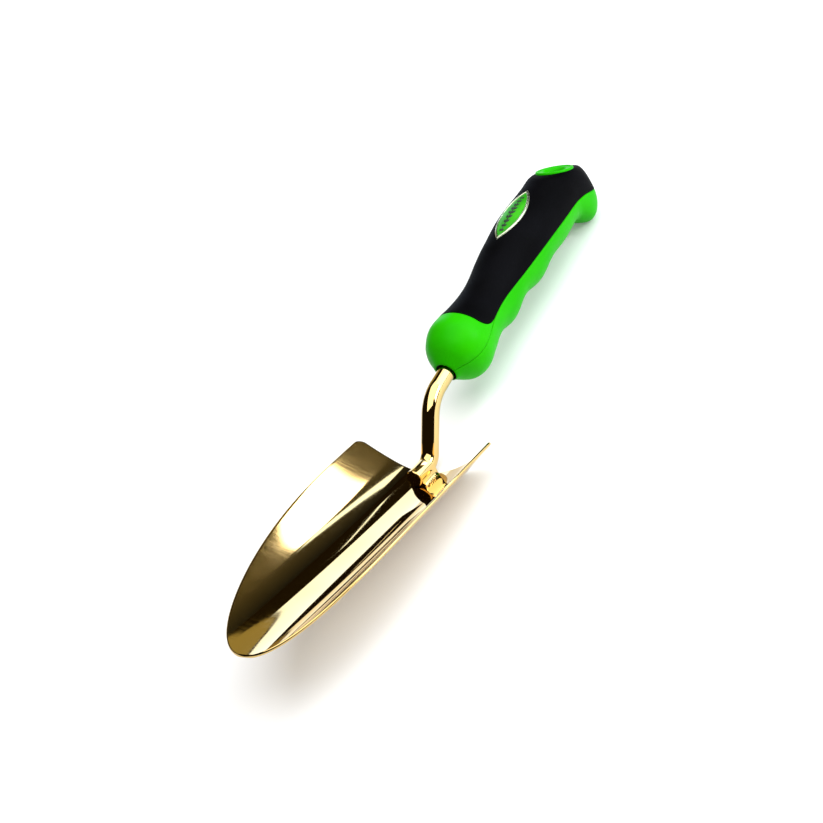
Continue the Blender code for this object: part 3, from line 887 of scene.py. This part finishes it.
class Look:
    """A Principled material with a plain colour and roughness, and the helpers that vary them."""

    def __init__(self, name, color, roughness, metallic=0.0):
        self.material = bpy.data.materials.new(name)
        self.material.use_nodes = True
        self.nodes = self.material.node_tree.nodes
        self.shader = self.nodes["Principled BSDF"]
        self.shader.inputs["Base Color"].default_value = (*color, 1)
        self.shader.inputs["Roughness"].default_value = roughness
        self.shader.inputs["Metallic"].default_value = metallic
        self.coordinates = self.nodes.new("ShaderNodeTexCoord").outputs["Object"]
        self.height = None

    def link(self, output, target):
        self.material.node_tree.links.new(output, target)

    def noise(self, scale, squeeze=(1, 1, 1), detail=3.0):
        """Noise with `scale` cells to the metre, times that squeeze along X, Y and Z."""
        mapping = self.nodes.new("ShaderNodeMapping")
        mapping.inputs["Scale"].default_value = squeeze
        self.link(self.coordinates, mapping.inputs["Vector"])
        texture = self.nodes.new("ShaderNodeTexNoise")
        texture.inputs["Scale"].default_value = scale
        texture.inputs["Detail"].default_value = detail
        self.link(mapping.outputs["Vector"], texture.inputs["Vector"])
        return texture.outputs["Fac"]

    def ramp(self, value, low, high, first, last):
        """Turns a value between low and high into a number between first and last."""
        node = self.nodes.new("ShaderNodeMapRange")
        node.inputs["From Min"].default_value = low
        node.inputs["From Max"].default_value = high
        node.inputs["To Min"].default_value = first
        node.inputs["To Max"].default_value = last
        self.link(value, node.inputs["Value"])
        return node.outputs["Result"]

    def tint(self, value, first, last, low=0.35, high=0.65):
        """Drifts the base colour from first to last as the value goes from low to high."""
        node = self.nodes.new("ShaderNodeMix")
        node.data_type = "RGBA"
        colors = [socket for socket in node.inputs if socket.type == "RGBA"]
        colors[0].default_value = (*first, 1)
        colors[1].default_value = (*last, 1)
        self.link(self.ramp(value, low, high, 0, 1), node.inputs["Factor"])
        mixed = [socket for socket in node.outputs if socket.type == "RGBA"][0]
        self.link(mixed, self.shader.inputs["Base Color"])

    def roughen(self, value, first, last, low=0.3, high=0.7):
        """Drifts the roughness from first to last as the value goes from low to high."""
        self.link(self.ramp(value, low, high, first, last), self.shader.inputs["Roughness"])

    def bump(self, value, depth):
        """Adds a bump of that depth in metres on top of those before it."""
        node = self.nodes.new("ShaderNodeBump")
        node.inputs["Strength"].default_value = 1
        node.inputs["Distance"].default_value = depth
        self.link(value, node.inputs["Height"])
        if self.height:
            self.link(self.height, node.inputs["Normal"])
        self.height = node.outputs["Normal"]
        self.link(self.height, self.shader.inputs["Normal"])


def steel_look():
    """Gold-toned mirror steel: fine brushing across the blade, a slow waviness and warm colour drift."""
    look = Look("gold_mirror_steel", (0.68, 0.49, 0.22), 0.05, 1.0)
    brushing = look.noise(2400, (0.03, 1, 0.03), detail=4)
    look.tint(look.noise(22, detail=2), (0.7, 0.5, 0.21), (0.62, 0.43, 0.16))
    look.roughen(brushing, 0.02, 0.055, high=0.75)
    look.bump(look.noise(60, detail=1), 0.003 * MM)
    look.bump(brushing, 0.00012 * MM)
    return look.material


def green_look():
    """Lime plastic with a satin moulded grain."""
    look = Look("lime_plastic", (0.016, 0.39, 0), 0.36)
    look.shader.inputs["Specular IOR Level"].default_value = 0.04
    look.shader.inputs["Subsurface Weight"].default_value = 0.06
    look.shader.inputs["Subsurface Radius"].default_value = (0.6 * MM, 2 * MM, 0.3 * MM)
    look.tint(look.noise(40), (0.013, 0.37, 0), (0.02, 0.41, 0))
    look.roughen(look.noise(700), 0.3, 0.42)
    look.bump(look.noise(2600, detail=2), 0.012 * MM)
    return look.material


def rubber_look():
    """Matt black elastomer with a fine leathery grain."""
    look = Look("black_elastomer", (0.002, 0.002, 0.003), 0.55)
    look.shader.inputs["Specular IOR Level"].default_value = 0.03
    grain = look.noise(1900)
    look.tint(look.noise(60), (0.0006, 0.0006, 0.001), (0.0015, 0.0015, 0.0024))
    look.roughen(grain, 0.48, 0.66)
    look.bump(grain, 0.03 * MM)
    return look.material


def badge_look():
    """Deep green enamel with a fine orange-peel surface."""
    look = Look("badge_enamel", (0.02, 0.3, 0.003), 0.4)
    look.shader.inputs["Specular IOR Level"].default_value = 0.2
    look.tint(look.noise(160, (1, 0.4, 1)), (0.015, 0.25, 0.002), (0.035, 0.38, 0.004))
    look.bump(look.noise(1500), 0.006 * MM)
    return look.material


def motif_look():
    """The sprig's dark, slightly uneven print."""
    look = Look("badge_print", (0.002, 0.015, 0.002), 0.5)
    look.tint(look.noise(300), (0.001, 0.01, 0.001), (0.004, 0.025, 0.003))
    look.bump(look.noise(2400), 0.01 * MM)
    return look.material


def trim_look():
    """Pale chrome for the badge's rim, rubbed duller in places."""
    look = Look("pale_chrome", (0.5, 0.56, 0.4), 0.16, 1.0)
    wear = look.noise(420, detail=4)
    look.tint(wear, (0.55, 0.6, 0.44), (0.34, 0.4, 0.25), 0.4, 0.7)
    look.roughen(wear, 0.2, 0.35)
    look.bump(look.noise(1800), 0.008 * MM)
    return look.material


# ---------------------------------------------------------------- studio


def floor_look():
    """Matt white paper that glows a little, so that the tool's shadow stays faint."""
    look = Look("studio_floor", (0.8, 0.8, 0.8), 0.6)
    look.shader.inputs["Emission Color"].default_value = (*WHITE, 1)
    look.shader.inputs["Emission Strength"].default_value = 0.16
    look.roughen(look.noise(8), 0.55, 0.65)
    return look.material


def make_floor():
    bm = bmesh.new()
    bmesh.ops.create_grid(bm, x_segments=1, y_segments=1, size=20)
    new_object("floor", bm, floor_look())


def add_softbox(name, place, size, power):
    """A square area light that points at the tool."""
    light = bpy.data.lights.new(name, "AREA")
    light.size = size
    light.energy = power
    lamp = bpy.data.objects.new(name, light)
    bpy.context.scene.collection.objects.link(lamp)
    lamp.location = place
    lamp.rotation_mode = "QUATERNION"
    lamp.rotation_quaternion = (Vector(place) - Vector(AIM)).to_track_quat("Z", "Y")


def card_glow(name, strength, color):
    """A black material that glows evenly."""
    glow = bpy.data.materials.new(name)
    glow.use_nodes = True
    shader = glow.node_tree.nodes["Principled BSDF"]
    shader.inputs["Base Color"].default_value = (0, 0, 0, 1)
    shader.inputs["Roughness"].default_value = 1
    shader.inputs["Emission Color"].default_value = (*color, 1)
    shader.inputs["Emission Strength"].default_value = strength
    return glow


def fade_glow(glow):
    """Fades a card's glow out along the wall, from all of it at GLOW_FULL to nothing at GLOW_DARK."""
    tree = glow.node_tree
    strength = tree.nodes["Principled BSDF"].inputs["Emission Strength"]
    split = tree.nodes.new("ShaderNodeSeparateXYZ")
    tree.links.new(tree.nodes.new("ShaderNodeTexCoord").outputs["Object"], split.inputs[0])
    fade = tree.nodes.new("ShaderNodeMapRange")
    fade.inputs["From Min"].default_value = GLOW_DARK
    fade.inputs["From Max"].default_value = GLOW_FULL
    fade.inputs["To Max"].default_value = strength.default_value
    tree.links.new(split.outputs["X"], fade.inputs["Value"])
    tree.links.new(fade.outputs["Result"], strength)


def add_card(outline, glow, behind=0.0):
    """A card on the studio's back wall, from its (x, z) corners. The camera sees it only in mirrors."""
    bm = bmesh.new()
    bm.faces.new([bm.verts.new((x, WALL_Y + behind, z)) for x, z in outline])
    card = new_object(glow.name, bm, glow)
    card.visible_camera = False
    card.visible_shadow = False


def rounded_band(first, last, middle_height, fall, half_height, count=12):
    """Outline of a strip that bends down on both sides of x = 0, with a round first end."""
    centre = first + half_height
    turns = spans(math.pi / 2, 3 * math.pi / 2, count)
    outline = [(centre + half_height * math.cos(turn), half_height * math.sin(turn)) for turn in turns]
    stations = spans(centre, last, count)[1:]
    outline += [(x, -half_height) for x in stations]
    outline += [(x, half_height) for x in reversed(stations)]
    return [(x, middle_height - fall * x**2 + rise) for x, rise in outline]


def make_world():
    """A white room that is nearly dark in mirrors, so that the blade shows the cards and the floor."""
    world = bpy.data.worlds.new("studio")
    bpy.context.scene.world = world
    world.use_nodes = True
    nodes = world.node_tree.nodes
    links = world.node_tree.links
    rays = nodes.new("ShaderNodeLightPath")
    seen = nodes["Background"].outputs[0]
    nodes["Background"].inputs["Color"].default_value = (*WHITE, 1)
    nodes["Background"].inputs["Strength"].default_value = ROOM_LIGHT
    for ray, color, strength in (("Is Glossy Ray", (1, 0.65, 0.2), MIRRORED_ROOM_LIGHT),
                                 ("Is Camera Ray", WHITE, 1)):
        light = nodes.new("ShaderNodeBackground")
        light.inputs["Color"].default_value = (*color, 1)
        light.inputs["Strength"].default_value = strength
        mix = nodes.new("ShaderNodeMixShader")
        links.new(rays.outputs[ray], mix.inputs[0])
        links.new(seen, mix.inputs[1])
        links.new(light.outputs[0], mix.inputs[2])
        seen = mix.outputs[0]
    links.new(seen, nodes["World Output"].inputs["Surface"])


def make_camera():
    """The photo's view. The camera orbits the tool, rolls, and looks a little past the tool's origin."""
    camera = bpy.data.cameras.new("camera")
    camera.lens = CAMERA_LENS
    camera.clip_start = 0.05
    camera.clip_end = 50
    holder = bpy.data.objects.new("camera", camera)
    bpy.context.scene.collection.objects.link(holder)
    turn = Matrix.Rotation(CAMERA_AZIMUTH, 4, "Z")
    turn = turn @ Matrix.Rotation(math.pi / 2 - CAMERA_ELEVATION, 4, "X")
    turn = turn @ Matrix.Rotation(CAMERA_ROLL, 4, "Z")
    aim = Matrix.Translation(CAMERA_AIM + Vector((0, 0, CAMERA_DISTANCE)))
    holder.matrix_world = TOOL @ turn @ aim
    bpy.context.scene.camera = holder


def hang_cards():
    """Hangs the cards. Each stands for a highlight or a glow that the steel shows in the photo."""
    # The bright patch on the left wing, and the side light that shows in the tang's foot and top end
    add_card(rounded_band(-0.085, 0.42, 0.507, 0.75, 0.021), card_glow("window", 7, WHITE))
    add_card([(0.2, 0.78), (0.33, 0.5), (0.345, 0.36), (0.5, 0.1), (1.25, 0.1), (0.85, 0.85), (0.3, 1.25)],
             card_glow("side_window", 4, COOL))
    # Two narrow streaks between that patch and the pale band
    add_card([(-0.24, 0.425), (-0.083, 0.512), (-0.092, 0.522), (-0.25, 0.441)],
             card_glow("streak", 4, CREAM))
    add_card([(-0.37, 0.392), (-0.45, 0.382), (-0.45, 0.388), (-0.37, 0.4)], card_glow("slit", 4, CREAM))
    # The pale band down the trough, the tan glow at the tip, and the tan round the bright patch
    add_card([(-0.505, 0.4), (-0.575, 0.35), (-0.705, 0.258), (-0.88, 0.11), (-0.95, 0), (-0.49, 0)],
             card_glow("panel", 3.5, CREAM))
    add_card([(-0.2, 0.56), (-0.3, 0.522), (-0.414, 0.468), (-0.505, 0.404), (-0.578, 0.352),
              (-0.708, 0.262), (-0.9, 0.1), (-2, 0.1), (-2, 0.62), (-0.2, 0.62)],
             card_glow("wall", 0.44, AMBER))
    rim_glow = card_glow("rim_glow", 0.1, AMBER)
    fade_glow(rim_glow)
    add_card([(GLOW_DARK, 0.4), (0.5, 0.4), (0.5, 0.62), (GLOW_DARK, 0.62)], rim_glow, CARD_GAP)


# ---------------------------------------------------------------- assembly

steel = steel_look()
green = green_look()
rubber = rubber_look()

make_blade(steel)
make_tang(steel)
make_weld("weld_fillet_left", -1, steel, "weld_bead_left")
make_weld("weld_fillet_right", 1, steel, "weld_bead_right")
make_lower_shell(green)
make_upper_shell(green)
make_palm_grip(rubber)
make_hang_eyelet(green)
# The black ring in the handle's mouth is painted shade for the dark gap round the tang
make_mouth_shade(rubber)
make_badge_bezel(trim_look())
make_badge_plate(badge_look())
make_badge_motif(motif_look())

make_camera()
make_world()
make_floor()
add_softbox("overhead", (0.4, 0.2, 1.8), 2.4, 50)
add_softbox("key", (1.1, 0.45, 0.55), 0.6, 9)
hang_cards()
bpy.context.scene.view_settings.view_transform = "Standard"
